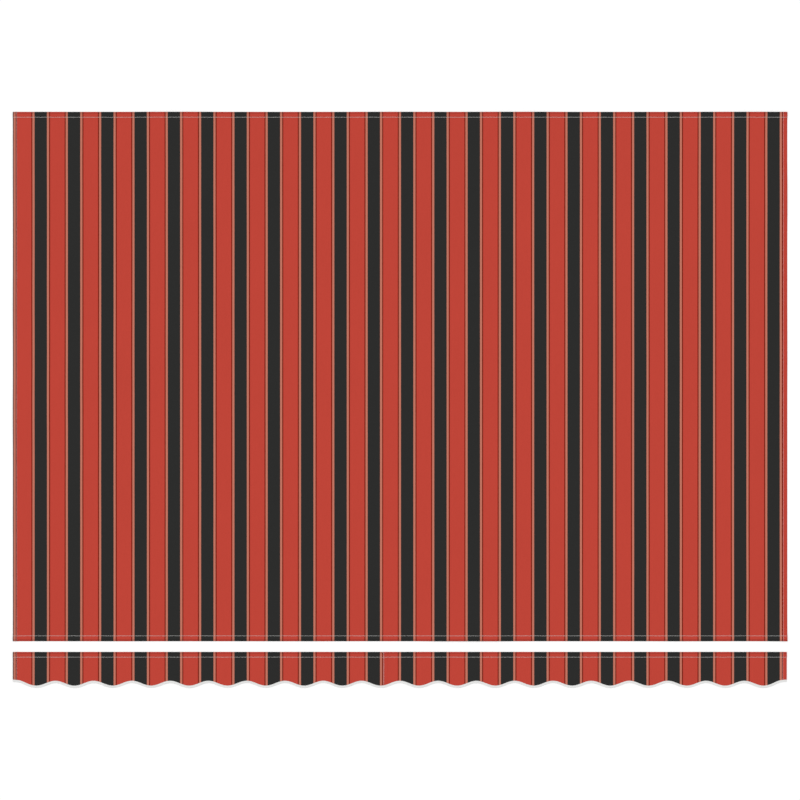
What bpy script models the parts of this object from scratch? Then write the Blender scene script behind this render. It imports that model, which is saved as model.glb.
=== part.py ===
"""Striped awning cloth with a separate scalloped valance, laid out flat on the ground.

Metres, +Z up. The stripes run along Y. The cover's rear edge, which hangs at the wall, is at +Y,
and the valance lies in front of the cover's front edge, at -Y. The origin is under the middle of
the whole layout, on the ground.

Each cloth is drawn as its flat-cut pattern, with every cut line of the stripes and of the folds,
then folded into its hems point by point and given its thickness.
"""

import math

import bmesh
import bpy

# The cloths, finished sizes
COVER_WIDTH = 4.3927
COVER_PROJECTION = 3.0027
VALANCE_WIDTH = 4.3897
VALANCE_DROP = 0.2041
LAYOUT_GAP = 0.0606

# Cloth, tape and thread, and the air left between two layers that lie on each other
CLOTH_THICKNESS = 0.0005
TAPE_THICKNESS = 0.0005
THREAD_DIAMETER = 0.0008
LAYER_GAP = 0.0003

# Hems: how far in from the finished edge the stitches run, and the raw margin past them
COVER_STITCH_INSET = 0.0306
VALANCE_STITCH_INSET = 0.0296
SIDE_STITCH_INSET = 0.0224
RAW_MARGIN = 0.0035
RAMP_LENGTH = 0.010
BEND_STEPS = 4

# Lapped join of the valance's two lengths, measured from the left edge
JOIN_EDGE = 2.100
JOIN_STITCH_INSET = 0.004
JOIN_TURN_UNDER = 0.012
JOIN_UNDERLAP = 0.020

# Scalloped lower edge of the valance, and the tape folded round it
SCALLOP_COUNT = 20
SCALLOP_RISE = 0.0276
SCALLOP_END_FLAT = 0.024
SCALLOP_END_LIFT = 0.0068
SCALLOP_END_RAMP = 0.080
SCALLOP_STEPS = 12
TAPE_LEG = 0.013
TAPE_STITCH_INSET = 0.0025
TAPE_BEND_STEPS = 3

# Woven stripes: one black band and the two trims on each side of it in every repeat
STRIPE_REPEAT = 0.18893
FIRST_BLACK_CENTRE = 0.1580
BLACK_WIDTH = 0.0704
TAN_WIDTH = 0.0118
BROWN_WIDTH = 0.0062

# Stitch rows stop short of a folded edge, and pass over a row that they cross
ROW_END_INSET = 0.002
CROSSING_RAMP = 0.003
THREAD_SIDES = 4

# Finishes: colour, roughness
FINISHES = {
    "red_cloth": ((0.503, 0.058, 0.041), 0.85),
    "black_cloth": ((0.026, 0.026, 0.025), 0.85),
    "tan_cloth": ((0.515, 0.170, 0.119), 0.85),
    "brown_cloth": ((0.178, 0.013, 0.005), 0.85),
    "pale_tape": ((0.823, 0.823, 0.815), 0.70),
    "white_thread": ((0.860, 0.860, 0.850), 0.60),
}
STRIPE_FINISHES = ("red_cloth", "black_cloth", "tan_cloth", "brown_cloth")
RED, BLACK, TAN, BROWN = range(len(STRIPE_FINISHES))

# Worked out from the sizes above
LAYER_PITCH = CLOTH_THICKNESS + LAYER_GAP
BEND_RADIUS = LAYER_PITCH / 2
BEND_LENGTH = math.pi * BEND_RADIUS
COVER_HEM = COVER_STITCH_INSET + RAW_MARGIN
VALANCE_HEM = VALANCE_STITCH_INSET + RAW_MARGIN
SIDE_HEM = SIDE_STITCH_INSET + RAW_MARGIN
LAYOUT_LENGTH = COVER_PROJECTION + LAYOUT_GAP + VALANCE_DROP
RIGHT_EDGE = COVER_WIDTH / 2
LEFT_EDGE = -RIGHT_EDGE
VALANCE_RIGHT = LEFT_EDGE + VALANCE_WIDTH
LEFT_FOLD = LEFT_EDGE + CLOTH_THICKNESS / 2
COVER_RIGHT_FOLD = RIGHT_EDGE - CLOTH_THICKNESS / 2
VALANCE_RIGHT_FOLD = VALANCE_RIGHT - CLOTH_THICKNESS / 2
COVER_REAR = LAYOUT_LENGTH / 2
COVER_FRONT = COVER_REAR - COVER_PROJECTION
VALANCE_TOP = COVER_FRONT - LAYOUT_GAP
VALANCE_LOWEST = VALANCE_TOP - VALANCE_DROP
JOIN_X = LEFT_EDGE + JOIN_EDGE
SCALLOP_PITCH = (VALANCE_WIDTH - 2 * SCALLOP_END_FLAT) / SCALLOP_COUNT
SCALLOP_MIDDLE = VALANCE_LOWEST + TAPE_LEG + SCALLOP_RISE / 2
DEEPEST_JOIN = 2 * LAYER_PITCH
CLOTH_IN_TAPE = TAPE_LEG - TAPE_THICKNESS - (2 * LAYER_PITCH + DEEPEST_JOIN) / 2 - LAYER_GAP
ROW_LIFT = CLOTH_THICKNESS / 2 + LAYER_GAP + THREAD_DIAMETER / 2
CROSSING_LIFT = THREAD_DIAMETER + LAYER_GAP


def ramp(value, start, end):
    """0 at start and 1 at end, straight between and level outside them."""
    return min(max((value - start) / (end - start), 0.0), 1.0)


def stripe_borders(low, high):
    """The flat positions between low and high at which the stripes change colour."""
    first = math.floor((low - LEFT_EDGE - FIRST_BLACK_CENTRE) / STRIPE_REPEAT) - 1
    last = math.ceil((high - LEFT_EDGE - FIRST_BLACK_CENTRE) / STRIPE_REPEAT) + 1
    reach = BLACK_WIDTH / 2
    offsets = (reach, reach + TAN_WIDTH, reach + TAN_WIDTH + BROWN_WIDTH)
    borders = []
    for repeat in range(first, last + 1):
        centre = LEFT_EDGE + FIRST_BLACK_CENTRE + repeat * STRIPE_REPEAT
        borders += [centre + sign * offset for sign in (-1, 1) for offset in offsets]
    return [border for border in borders if low < border < high]


def stripe_at(position):
    """The colour of the cloth at a flat position across it."""
    repeats = (position - LEFT_EDGE - FIRST_BLACK_CENTRE) / STRIPE_REPEAT
    from_centre = abs(repeats - round(repeats)) * STRIPE_REPEAT - BLACK_WIDTH / 2
    if from_centre < 0:
        return BLACK
    if from_centre < TAN_WIDTH:
        return TAN
    if from_centre < TAN_WIDTH + BROWN_WIDTH:
        return BROWN
    return RED


def turn_side(position, edge, outward):
    """Turns the margin past a side edge under the cloth.

    Takes a flat position across the cloth, and gives its place and how deep it lies below the
    cloth's top layer. outward is 1 at a right edge and -1 at a left one.
    """
    past = outward * (position - edge) + BEND_RADIUS
    if past <= 0:
        return position, 0.0
    if past >= BEND_LENGTH:
        return edge - outward * (BEND_RADIUS + past - BEND_LENGTH), LAYER_PITCH
    angle = past / BEND_RADIUS
    return edge - outward * BEND_RADIUS * (1 - math.sin(angle)), BEND_RADIUS * (1 - math.cos(angle))


def turn_end(position, edge, outward, depth, stack):
    """Turns the end hem under, with every layer that is already there.

    stack is the height from the hem's top layer to its bottom one, and depth is where this
    point's layer lies in it, from the top. A thick stack starts its bend further in, so that its
    outermost layer ends in line with the edge.
    """
    past = outward * (position - edge) + BEND_RADIUS
    from_bend = max(-past, past - BEND_LENGTH, 0.0)
    inset = max(stack / 2, BEND_RADIUS + from_bend)
    angle = min(max(past, 0.0) / BEND_RADIUS, math.pi)
    radius = stack / 2 - depth
    return edge - outward * (inset - radius * math.sin(angle)), stack / 2 - radius * math.cos(angle)


def turned_positions(edge, outward, width):
    """The flat positions of a turned edge's fold lines, with its raw edge last."""
    start = edge - outward * BEND_RADIUS
    bends = [start + outward * BEND_LENGTH * step / BEND_STEPS for step in range(BEND_STEPS + 1)]
    return bends + [bends[-1] + outward * (width - BEND_RADIUS)]


def side_layers(x, right_edge):
    """1 where a side hem's turned margin lies under the cloth, falling to 0 past its raw edge."""
    from_edge = min(x - LEFT_EDGE, right_edge - x)
    return 1 - ramp(from_edge, SIDE_HEM, SIDE_HEM + RAMP_LENGTH)


def join_layers(x):
    """1 where the valance's two lengths lie lapped, falling to 0 on both sides."""
    before = ramp(x, JOIN_X - LAYER_PITCH - RAMP_LENGTH, JOIN_X - LAYER_PITCH)
    underlap_end = JOIN_X + JOIN_UNDERLAP + LAYER_GAP
    return before - ramp(x, underlap_end, underlap_end + RAMP_LENGTH)


def cover_below(x):
    """How far the cover's side hems raise its top layer."""
    return LAYER_PITCH * side_layers(x, RIGHT_EDGE)


def valance_below(x):
    """How far the valance's side hems and its join raise its top layer."""
    return LAYER_PITCH * side_layers(x, VALANCE_RIGHT) + DEEPEST_JOIN * join_layers(x)


def cover_height(x, y):
    """Height of the cover's top layer over a single layer that lies on the ground."""
    from_end = min(COVER_REAR - y, y - COVER_FRONT)
    hemmed = 1 - ramp(from_end, COVER_HEM, COVER_HEM + RAMP_LENGTH)
    return LAYER_PITCH * hemmed + cover_below(x) * (1 + hemmed)


def valance_height(x, y):
    """The same for the valance, which lies on its top hem and on the lower leg of its tape."""
    hemmed = 1 - ramp(VALANCE_TOP - y, VALANCE_HEM, VALANCE_HEM + RAMP_LENGTH)
    return LAYER_PITCH + valance_below(x) * (1 + hemmed)


def scallop_y(x, outside):
    """The line that runs outside the cloth's visible lower edge by the given distance.

    The edge is a cosine wave that starts and ends at a crest, with a short straight at each
    side, where it rises a little towards the side edge.
    """
    wave_width = SCALLOP_COUNT * SCALLOP_PITCH
    along = min(max(x - LEFT_EDGE - SCALLOP_END_FLAT, 0.0), wave_width)
    angle = math.tau * along / SCALLOP_PITCH
    slope = SCALLOP_RISE / 2 * math.tau / SCALLOP_PITCH * math.sin(angle)
    from_end = min(x - LEFT_EDGE, VALANCE_RIGHT - x)
    lifted = 1 - ramp(from_end, 0, SCALLOP_END_RAMP)
    edge = SCALLOP_MIDDLE + SCALLOP_RISE / 2 * math.cos(angle) + SCALLOP_END_LIFT * lifted
    return edge - outside * math.hypot(1, slope)


def scallop_stations(low, high):
    """Positions across the valance between low and high at which the wave is drawn."""
    start = LEFT_EDGE + SCALLOP_END_FLAT
    steps = SCALLOP_COUNT * SCALLOP_STEPS
    places = [start + step * SCALLOP_PITCH / SCALLOP_STEPS for step in range(steps + 1)]
    return [place for place in places if low < place < high]


def finish(name):
    """The material of one finish, made once."""
    if name in bpy.data.materials:
        return bpy.data.materials[name]
    colour, roughness = FINISHES[name]
    material = bpy.data.materials.new(name)
    material.use_nodes = True
    shader = material.node_tree.nodes["Principled BSDF"]
    shader.inputs["Base Color"].default_value = (*colour, 1)
    shader.inputs["Roughness"].default_value = roughness
    shader.inputs["Metallic"].default_value = 0.0
    return material


def add_sheet(collection, name, mesh, thickness, finishes):
    """Adds a cloth or tape that its Solidify modifier thickens evenly to both sides."""
    piece = bpy.data.objects.new(name, mesh)
    collection.objects.link(piece)
    for each in finishes:
        mesh.materials.append(finish(each))
    solidify = piece.modifiers.new("Thickness", "SOLIDIFY")
    solidify.thickness = thickness
    solidify.offset = 0
    solidify.use_even_offset = True
    mesh.shade_smooth()
    mesh.set_sharp_from_angle(angle=math.radians(40))
    return piece


def cut_pattern(outline, columns, rows):
    """A flat pattern from its anticlockwise outline, cut across at each column and each row."""
    pattern = bmesh.new()
    pattern.faces.new([pattern.verts.new((x, y, 0)) for x, y in outline])
    cuts = [((column, 0, 0), (1, 0, 0)) for column in columns]
    cuts += [((0, row, 0), (0, 1, 0)) for row in rows]
    for place, normal in cuts:
        everything = pattern.verts[:] + pattern.edges[:] + pattern.faces[:]
        bmesh.ops.bisect_plane(pattern, geom=everything, dist=1e-6, plane_co=place, plane_no=normal)
    return pattern


def add_cloth(collection, name, pattern, fold):
    """Adds a striped cloth: colours the flat pattern, then folds each of its points."""
    for face in pattern.faces:
        face.material_index = stripe_at(face.calc_center_bounds().x)
    for vert in pattern.verts:
        vert.co = fold(vert.co.x, vert.co.y)
    mesh = bpy.data.meshes.new(name)
    pattern.to_mesh(mesh)
    pattern.free()
    return add_sheet(collection, name, mesh, CLOTH_THICKNESS, STRIPE_FINISHES)


def add_row(collection, name, points):
    """Adds a row of sewing thread that runs along the points on top of the cloth."""
    curve = bpy.data.curves.new(name, "CURVE")
    curve.dimensions = "3D"
    curve.bevel_depth = THREAD_DIAMETER / 2
    curve.bevel_resolution = THREAD_SIDES // 2 - 2
    curve.use_fill_caps = True
    spline = curve.splines.new("POLY")
    spline.points.add(len(points) - 1)
    for point, place in zip(spline.points, points):
        point.co = (*place, 1)
    curve.materials.append(finish("white_thread"))
    row = bpy.data.objects.new(name, curve)
    collection.objects.link(row)
    return row


def crossing_lift(x, crossed):
    """What a row rises by at x to pass over the rows that it crosses."""
    nearest = min(abs(x - place) for place in crossed)
    flat = THREAD_DIAMETER + LAYER_GAP
    return CROSSING_LIFT * (1 - ramp(nearest, flat, flat + CROSSING_RAMP))


def row_across(y, height, bends, crossed, right_edge):
    """Points of a row that runs from side to side over rows that run front to back."""
    flat = THREAD_DIAMETER + LAYER_GAP
    steps = (-flat - CROSSING_RAMP, -flat, flat, flat + CROSSING_RAMP)
    inner = [place + step for place in crossed for step in steps] + list(bends)
    ends = [LEFT_EDGE + ROW_END_INSET, right_edge - ROW_END_INSET]
    base = CLOTH_THICKNESS / 2 + ROW_LIFT
    return [(x, y, base + height(x, y) + crossing_lift(x, crossed)) for x in sorted(inner + ends)]


def row_along(x, height, places):
    """Points of a row that runs front to back through the given places."""
    base = CLOTH_THICKNESS / 2 + ROW_LIFT
    return [(x, y, base + height(x, y)) for y in places]


def side_bends(right_edge):
    """Where the side hems' ramps start and end, on both sides."""
    insets = (SIDE_HEM, SIDE_HEM + RAMP_LENGTH)
    return [LEFT_EDGE + inset for inset in insets] + [right_edge - inset for inset in insets]


def side_rows(right_edge):
    """Where the two side hems' rows of stitches run."""
    return [LEFT_EDGE + SIDE_STITCH_INSET, right_edge - SIDE_STITCH_INSET]


def join_bends():
    """Where the ramps on the two sides of the valance's join start and end."""
    before = JOIN_X - LAYER_PITCH
    after = JOIN_X + JOIN_UNDERLAP + LAYER_GAP
    return [before - RAMP_LENGTH, before, after, after + RAMP_LENGTH]


def fold_cover(x, y):
    """Lays one point of the cover's flat pattern in its place."""
    edge, outward = (COVER_RIGHT_FOLD, 1) if x > 0 else (LEFT_FOLD, -1)
    place_x, depth = turn_side(x, edge, outward)
    stack = LAYER_PITCH + 2 * cover_below(place_x)
    rear = y > (COVER_REAR + COVER_FRONT) / 2
    outward = 1 if rear else -1
    edge = (COVER_REAR if rear else COVER_FRONT) - outward * CLOTH_THICKNESS / 2
    place_y, depth = turn_end(y, edge, outward, depth, stack)
    height = cover_height(place_x, place_y)
    return (place_x, place_y, CLOTH_THICKNESS / 2 + height - depth)


def add_cover(collection):
    """The cover: one striped cloth with a tunnel hem front and rear and a narrow hem each side."""
    left = turned_positions(LEFT_FOLD, -1, SIDE_HEM)
    right = turned_positions(COVER_RIGHT_FOLD, 1, SIDE_HEM)
    rear = turned_positions(COVER_REAR - CLOTH_THICKNESS / 2, 1, COVER_HEM)
    front = turned_positions(COVER_FRONT + CLOTH_THICKNESS / 2, -1, COVER_HEM)
    bends = side_bends(RIGHT_EDGE)
    outline = [(left[-1], front[-1]), (right[-1], front[-1]), (right[-1], rear[-1]), (left[-1], rear[-1])]
    columns = left[:-1] + right[:-1] + bends + stripe_borders(left[-1], right[-1])
    hem_lines = (COVER_REAR - COVER_HEM, COVER_FRONT + COVER_HEM)
    ramp_ends = (hem_lines[0] - RAMP_LENGTH, hem_lines[1] + RAMP_LENGTH)
    rows = rear[:-1] + front[:-1] + list(hem_lines + ramp_ends)
    add_cloth(collection, "cover_cloth", cut_pattern(outline, columns, rows), fold_cover)

    crossed = side_rows(RIGHT_EDGE)
    rear_row = COVER_REAR - COVER_STITCH_INSET
    front_row = COVER_FRONT + COVER_STITCH_INSET
    for name, y in (("rear", rear_row), ("front", front_row)):
        points = row_across(y, cover_height, bends, crossed, RIGHT_EDGE)
        add_row(collection, f"cover_{name}_hem_thread", points)
    places = [COVER_REAR - ROW_END_INSET, hem_lines[0], ramp_ends[0]]
    places += [ramp_ends[1], hem_lines[1], COVER_FRONT + ROW_END_INSET]
    for name, x in zip(("left", "right"), crossed):
        add_row(collection, f"cover_{name}_side_thread", row_along(x, cover_height, places))


def lay_valance(place_x, depth, y):
    """Folds the valance's top hem at a point whose side fold is already made, and lays it."""
    stack = LAYER_PITCH + 2 * valance_below(place_x)
    place_y, depth = turn_end(y, VALANCE_TOP - CLOTH_THICKNESS / 2, 1, depth, stack)
    return (place_x, place_y, CLOTH_THICKNESS / 2 + valance_height(place_x, place_y) - depth)


def fold_left_valance(x, y):
    """Lays one point of the left length, which passes under the right one at the join."""
    place_x, depth = turn_side(x, LEFT_FOLD, -1)
    return lay_valance(place_x, depth + DEEPEST_JOIN * join_layers(place_x), y)


def fold_right_valance(x, y):
    """Lays one point of the right length, whose left margin is turned under at the join."""
    at_join = x < (JOIN_X + VALANCE_RIGHT) / 2
    edge, outward = (JOIN_X, -1) if at_join else (VALANCE_RIGHT_FOLD, 1)
    place_x, depth = turn_side(x, edge, outward)
    return lay_valance(place_x, depth, y)


def add_valance_length(collection, name, left, right, bends, fold):
    """One length of the valance, between the flat positions of its two side edges.

    left and right are fold lines with the raw edge last, or only a raw edge.
    """
    low, high = left[-1], right[-1]
    rear = turned_positions(VALANCE_TOP - CLOTH_THICKNESS / 2, 1, VALANCE_HEM)
    bottoms = [low, *left[:-1], *scallop_stations(low, high), *right[:-1], high]
    bottoms = sorted(set(bottoms))
    outline = [(x, scallop_y(fold(x, VALANCE_LOWEST)[0], CLOTH_IN_TAPE)) for x in bottoms]
    outline += [(high, rear[-1]), (low, rear[-1])]
    columns = left[:-1] + right[:-1] + bends + stripe_borders(low, high)
    rows = rear[:-1] + [VALANCE_TOP - VALANCE_HEM, VALANCE_TOP - VALANCE_HEM - RAMP_LENGTH]
    add_cloth(collection, name, cut_pattern(outline, columns, rows), fold)


def tape_station(x):
    """One section across the folded tape: its upper leg, its fold, and its lower leg."""
    lower = TAPE_THICKNESS / 2
    fold_radius = (2 * LAYER_PITCH + valance_below(x)) / 2
    centre = TAPE_LEG - TAPE_THICKNESS / 2 - fold_radius
    section = [(0.0, lower + 2 * fold_radius)]
    for step in range(TAPE_BEND_STEPS + 1):
        angle = math.pi * step / TAPE_BEND_STEPS
        section.append((centre + fold_radius * math.sin(angle), lower + fold_radius * (1 + math.cos(angle))))
    section.append((0.0, lower))
    return [(x, scallop_y(x, outside), z) for outside, z in section]


def tape_places():
    """Positions of the tape's sections, from one side of the valance to the other."""
    stations = scallop_stations(LEFT_EDGE, VALANCE_RIGHT)
    inner = set(stations + side_bends(VALANCE_RIGHT) + join_bends())
    return [LEFT_EDGE, *sorted(inner), VALANCE_RIGHT]


def add_binding(collection):
    """The tape folded round the scalloped edge, and the row that holds it."""
    sections = [tape_station(x) for x in tape_places()]
    across = len(sections[0])
    strip = bmesh.new()
    bmesh.ops.create_grid(strip, x_segments=len(sections) - 1, y_segments=across - 1, size=1)
    strip.verts.ensure_lookup_table()
    in_order = sorted(strip.verts, key=lambda vert: (round(vert.co.x, 5), round(vert.co.y, 5)))
    places = [place for section in sections for place in section]
    for vert, place in zip(in_order, places):
        vert.co = place
    bmesh.ops.recalc_face_normals(strip, faces=strip.faces[:])
    mesh = bpy.data.meshes.new("valance_binding")
    strip.to_mesh(mesh)
    strip.free()
    add_sheet(collection, "valance_binding", mesh, TAPE_THICKNESS, ("pale_tape",))

    inner = tape_places()[1:-1]
    ends = [LEFT_EDGE + ROW_END_INSET, VALANCE_RIGHT - ROW_END_INSET]
    rise = LAYER_PITCH + CLOTH_THICKNESS / 2 + ROW_LIFT
    points = [
        (x, scallop_y(x, TAPE_STITCH_INSET), rise + LAYER_PITCH + valance_below(x))
        for x in [ends[0], *inner, ends[1]]
    ]
    add_row(collection, "valance_binding_thread", points)


def add_valance(collection):
    """The valance: two striped lengths lapped at a join, with a tunnel hem and a bound wave."""
    left = turned_positions(LEFT_FOLD, -1, SIDE_HEM)
    right = turned_positions(VALANCE_RIGHT_FOLD, 1, SIDE_HEM)
    join = turned_positions(JOIN_X, -1, JOIN_TURN_UNDER)
    bends = join_bends()
    ramps = side_bends(VALANCE_RIGHT)
    add_valance_length(
        collection, "valance_left_cloth", left, [JOIN_X + JOIN_UNDERLAP],
        bends[:2] + [x for x in ramps if x < 0], fold_left_valance,
    )
    add_valance_length(
        collection, "valance_right_cloth", join, right,
        bends[2:] + [x for x in ramps if x > 0], fold_right_valance,
    )
    add_binding(collection)

    crossed = [*side_rows(VALANCE_RIGHT), JOIN_X + JOIN_STITCH_INSET]
    top_row = VALANCE_TOP - VALANCE_STITCH_INSET
    points = row_across(top_row, valance_height, ramps + bends, crossed, VALANCE_RIGHT)
    add_row(collection, "valance_top_hem_thread", points)
    hem_line = VALANCE_TOP - VALANCE_HEM
    for name, x in zip(("left_side", "right_side", "join"), crossed):
        tape_edge = scallop_y(x, 0) + LAYER_PITCH
        places = [VALANCE_TOP - ROW_END_INSET, hem_line, hem_line - RAMP_LENGTH, tape_edge]
        add_row(collection, f"valance_{name}_thread", row_along(x, valance_height, places))


def main():
    """Clears the scene and lays out the cover and the valance."""
    for old in list(bpy.data.objects):
        bpy.data.objects.remove(old, do_unlink=True)
    collection = bpy.data.collections.new("fabric_awning")
    bpy.context.scene.collection.children.link(collection)
    add_cover(collection)
    add_valance(collection)


main()
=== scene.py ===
"""Looks of a striped awning cover and its scalloped valance, laid out flat on a pale floor.

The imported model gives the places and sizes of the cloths. Each cloth is worked out from its
flat-cut pattern: a grid of cut positions is folded into the hems, lifted the way loose cloth lies,
and given its thickness. Every stitch is a small bead of thread. Metres, +Z up, the stripes along
Y, and the rear edge, which hangs at the wall, at +Y.
"""

import logging
import math
from collections.abc import Callable, Sequence
from dataclasses import dataclass
from enum import Enum

import bpy
import numpy as np
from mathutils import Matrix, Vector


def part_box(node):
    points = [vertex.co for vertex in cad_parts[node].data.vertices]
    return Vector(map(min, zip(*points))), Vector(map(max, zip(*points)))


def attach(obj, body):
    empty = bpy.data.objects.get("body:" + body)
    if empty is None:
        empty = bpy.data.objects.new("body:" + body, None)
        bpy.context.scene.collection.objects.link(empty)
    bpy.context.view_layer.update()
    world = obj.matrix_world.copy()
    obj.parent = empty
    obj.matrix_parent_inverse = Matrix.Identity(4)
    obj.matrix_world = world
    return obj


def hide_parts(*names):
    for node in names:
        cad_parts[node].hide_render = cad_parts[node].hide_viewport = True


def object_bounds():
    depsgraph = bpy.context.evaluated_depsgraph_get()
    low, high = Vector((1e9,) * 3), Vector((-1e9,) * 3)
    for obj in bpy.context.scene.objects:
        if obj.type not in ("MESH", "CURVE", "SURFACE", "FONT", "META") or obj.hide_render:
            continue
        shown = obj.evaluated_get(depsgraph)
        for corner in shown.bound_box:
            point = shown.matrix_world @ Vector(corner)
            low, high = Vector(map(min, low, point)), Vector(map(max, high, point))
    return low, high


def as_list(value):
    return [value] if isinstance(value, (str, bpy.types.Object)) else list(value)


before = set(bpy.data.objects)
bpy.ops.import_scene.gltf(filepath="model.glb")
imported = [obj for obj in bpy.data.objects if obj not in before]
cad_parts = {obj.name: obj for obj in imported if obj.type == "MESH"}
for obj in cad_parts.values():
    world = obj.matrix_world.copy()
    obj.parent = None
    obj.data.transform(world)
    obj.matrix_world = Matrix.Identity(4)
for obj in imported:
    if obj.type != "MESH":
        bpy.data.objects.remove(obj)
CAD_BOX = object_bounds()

LOG = logging.getLogger("awning")
SHARP_ANGLE = math.radians(50)
UP = np.array([0.0, 0.0, 1.0])
Colour = tuple[float, float, float, float]
Surface = Callable[[np.ndarray, np.ndarray], np.ndarray]
WHITE: Colour = (1.0, 1.0, 1.0, 1.0)
DIGITS = 7
SLACK = 1e-6


class Slot(Enum):
    """The record's material slots."""

    CLOTH = "striped_cloth"
    TAPE = "binding_tape"
    THREAD = "sewing_thread"


class Side(Enum):
    """Which way a turned edge faces along its axis."""

    LOW = -1
    HIGH = 1


class Axis(Enum):
    """The two ways over the cloths, as the numbers of their coordinates."""

    ACROSS = 0
    ALONG = 1


@dataclass(frozen=True)
class Layers:
    """How thick a cloth is, and how its folded layers lie on each other."""

    thickness: float = 0.0005
    gap: float = 0.0003

    @property
    def pitch(self) -> float:
        """The height from one layer's middle to the next one's."""
        return self.thickness + self.gap

    @property
    def radius(self) -> float:
        """The radius of a folded edge, at the middle of the cloth."""
        return self.pitch / 2

    @property
    def bend(self) -> float:
        """The cloth's length round a folded edge."""
        return math.pi * self.radius


@dataclass(frozen=True)
class Stripes:
    """The woven stripes: their repeat, and the widths on each side of a black band's middle."""

    repeat: float = 0.18893
    first_centre: float = 0.1580
    black: float = 0.0704
    tan: float = 0.0118
    brown: float = 0.0062


@dataclass(frozen=True)
class HemSizes:
    """How far the turned margins reach in, how fast the cloth comes down, and how tunnels open."""

    raw_margin: float = 0.0035
    ramp: float = 0.010
    join_turn_under: float = 0.012
    end_bulge: float = 0.0016
    side_bulge: float = 0.0008
    bulge_fullness: float = 0.6


@dataclass(frozen=True)
class Wave:
    """The valance's scalloped edge, a cosine wave that rises a little towards each side edge."""

    count: int = 20
    rise: float = 0.0276
    end_flat: float = 0.024
    end_lift: float = 0.0068
    end_ramp: float = 0.080
    tape_leg: float = 0.013
    tape_stitch_inset: float = 0.0025
    tape_swell: float = 0.0005
    tape_stitch_lift: float = 0.0003


@dataclass(frozen=True)
class Steps:
    """How finely the meshes follow their shapes: longest steps in metres, and whole numbers."""

    cover_across: float = 0.0145
    cover_along: float = 0.034
    valance_across: float = 0.0085
    hem: float = 0.0055
    fold: int = 8
    ramp: int = 6
    valance_rows: int = 18
    tape_columns: int = 640
    tape_leg: int = 6
    tape_stitches: int = 1200


LAYERS = Layers()
STRIPES = Stripes()
HEMS = HemSizes()
WAVE = Wave()
STEPS = Steps()


def box_of(node: str) -> tuple[np.ndarray, np.ndarray]:
    """The lowest and highest corner of a CAD node, in metres."""
    low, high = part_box(node)
    return np.array(low), np.array(high)


def middle_of(node: str, axis: Axis) -> float:
    """The middle of a CAD node's box along one axis."""
    low, high = box_of(node)
    return float(low[axis.value] + high[axis.value]) / 2


def unit(vectors: np.ndarray) -> np.ndarray:
    """The vectors at a length of one."""
    return vectors / np.maximum(np.linalg.norm(vectors, axis=-1, keepdims=True), 1e-12)


def ramp(value: np.ndarray, start: float, end: float) -> np.ndarray:
    """The cubic smooth step: 0 up to start, 1 from end on, easing in and out between them."""
    share = np.clip((value - start) / (end - start), 0.0, 1.0)
    return share * share * (3 - 2 * share)


def ramp_stops(start: float, end: float) -> list[float]:
    """Even stops over a ramp, so that the mesh follows its curve."""
    return list(np.linspace(start, end, STEPS.ramp + 1))


def spread(stops: Sequence[float], spacing: float) -> np.ndarray:
    """Positions through all the stops, with no step between two of them over the spacing.

    Args:
        stops: Positions that must be there.
        spacing: The longest step.

    Returns:
        The positions in rising order.
    """
    places = sorted(set(round(stop, DIGITS) for stop in stops))
    runs = []
    for low, high in zip(places[:-1], places[1:]):
        steps = max(1, math.ceil((high - low) / spacing - SLACK))
        runs.append(np.linspace(low, high, steps, endpoint=False))
    return np.concatenate([*runs, [places[-1]]])


def turn_side(flat: np.ndarray, fold: float, side: Side) -> tuple[np.ndarray, np.ndarray]:
    """Turns the margin past a side edge under the cloth.

    Before the bend a point keeps its place. Round the bend it follows a half circle of the layers'
    radius, and past it the cloth runs back one layer down.

    Args:
        flat: Cut positions across the cloth.
        fold: Where the folded edge lies, at the middle of the cloth's thickness.
        side: The way the edge faces.

    Returns:
        The places across the cloth, and the depths below its top layer.
    """
    past = side.value * (flat - fold) + LAYERS.radius
    angle = np.clip(past / LAYERS.radius, 0.0, math.pi)
    back = LAYERS.radius * (1 - np.sin(angle)) + np.maximum(past - LAYERS.bend, 0.0)
    place = np.where(past <= 0, flat, fold - side.value * back)
    return place, LAYERS.radius * (1 - np.cos(angle))


def turn_end(
    flat: np.ndarray, fold: float, side: Side, depth: np.ndarray, stack: np.ndarray
) -> tuple[np.ndarray, np.ndarray, np.ndarray]:
    """Turns an end hem under, with every layer that is already there.

    Each layer follows a half circle about the middle of the stack's height.

    Args:
        flat: Cut positions along the cloth.
        fold: Where the folded edge lies, at the middle of the cloth's thickness.
        side: The way the edge faces.
        depth: Each point's depth in the stack before the turn.
        stack: The height from the top layer to the bottom one at each point.

    Returns:
        The places along the cloth, the depths after the turn, and 1 on the upper run of the hem,
        falling to 0 on its lower run.
    """
    past = side.value * (flat - fold) + LAYERS.radius
    from_bend = np.maximum(np.maximum(-past, past - LAYERS.bend), 0.0)
    inset = np.maximum(stack / 2, LAYERS.radius + from_bend)
    angle = np.clip(past / LAYERS.radius, 0.0, math.pi)
    radius = stack / 2 - depth
    place = fold - side.value * (inset - radius * np.sin(angle))
    return place, stack / 2 - radius * np.cos(angle), (1 + np.cos(angle)) / 2


def turned_stops(fold: float, side: Side, width: float) -> list[float]:
    """The cut positions of a turned edge: round its bend, then to its raw edge.

    Args:
        fold: Where the folded edge lies.
        side: The way the edge faces.
        width: How far the margin reaches back.

    Returns:
        The positions, with the raw edge last.
    """
    start = fold - side.value * LAYERS.radius
    bends = [start + side.value * LAYERS.bend * step / STEPS.fold for step in range(STEPS.fold + 1)]
    return bends + [bends[-1] + side.value * (width - LAYERS.radius)]


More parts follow.
